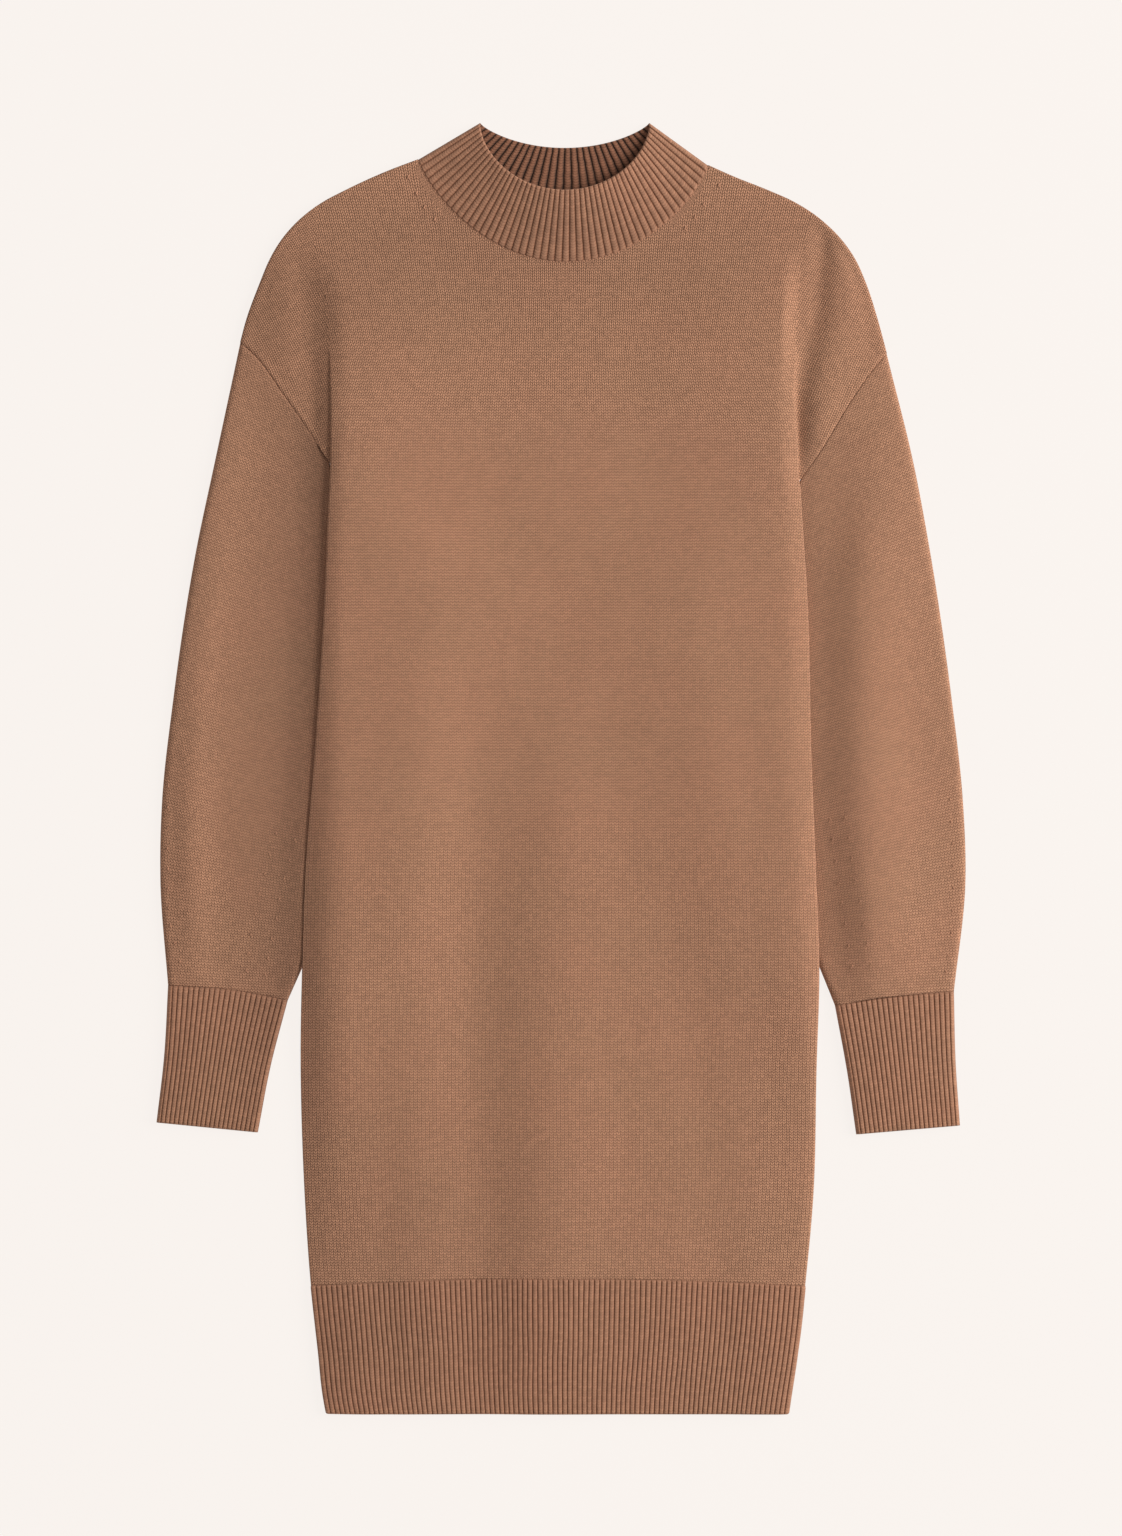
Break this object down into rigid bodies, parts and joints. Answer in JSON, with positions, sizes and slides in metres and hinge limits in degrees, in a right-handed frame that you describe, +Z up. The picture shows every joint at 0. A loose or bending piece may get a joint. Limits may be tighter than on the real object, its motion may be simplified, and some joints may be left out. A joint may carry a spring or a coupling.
{
  "type": "sweater dress",
  "caption": "Long-sleeved knitted dress laid flat, with a ribbed mock-neck collar, dropped shoulders, full sleeves with ribbed cuffs, and a ribbed hem.",
  "frame": {"origin": "on the ground, under the middle of the dress as it lies", "axes": "+Y from the hem towards the collar, +X to the right as seen from the front, +Z up out of the front"},
  "size_m": [0.5672, 0.9048, 0.0135],
  "materials": {
    "plain_knit": "matte stocking-stitch wool knit, tan",
    "rib_knit": "matte one-by-one rib wool knit, tan"
  },
  "bodies": {
    "root": {"body_front": "plain_knit", "body_back": "plain_knit", "sleeve_left": "plain_knit", "sleeve_right": "plain_knit", "hem_rib_front": "rib_knit", "hem_rib_back": "rib_knit", "cuff_left": "rib_knit", "cuff_right": "rib_knit", "collar": "rib_knit"}
  },
  "joints": []
}
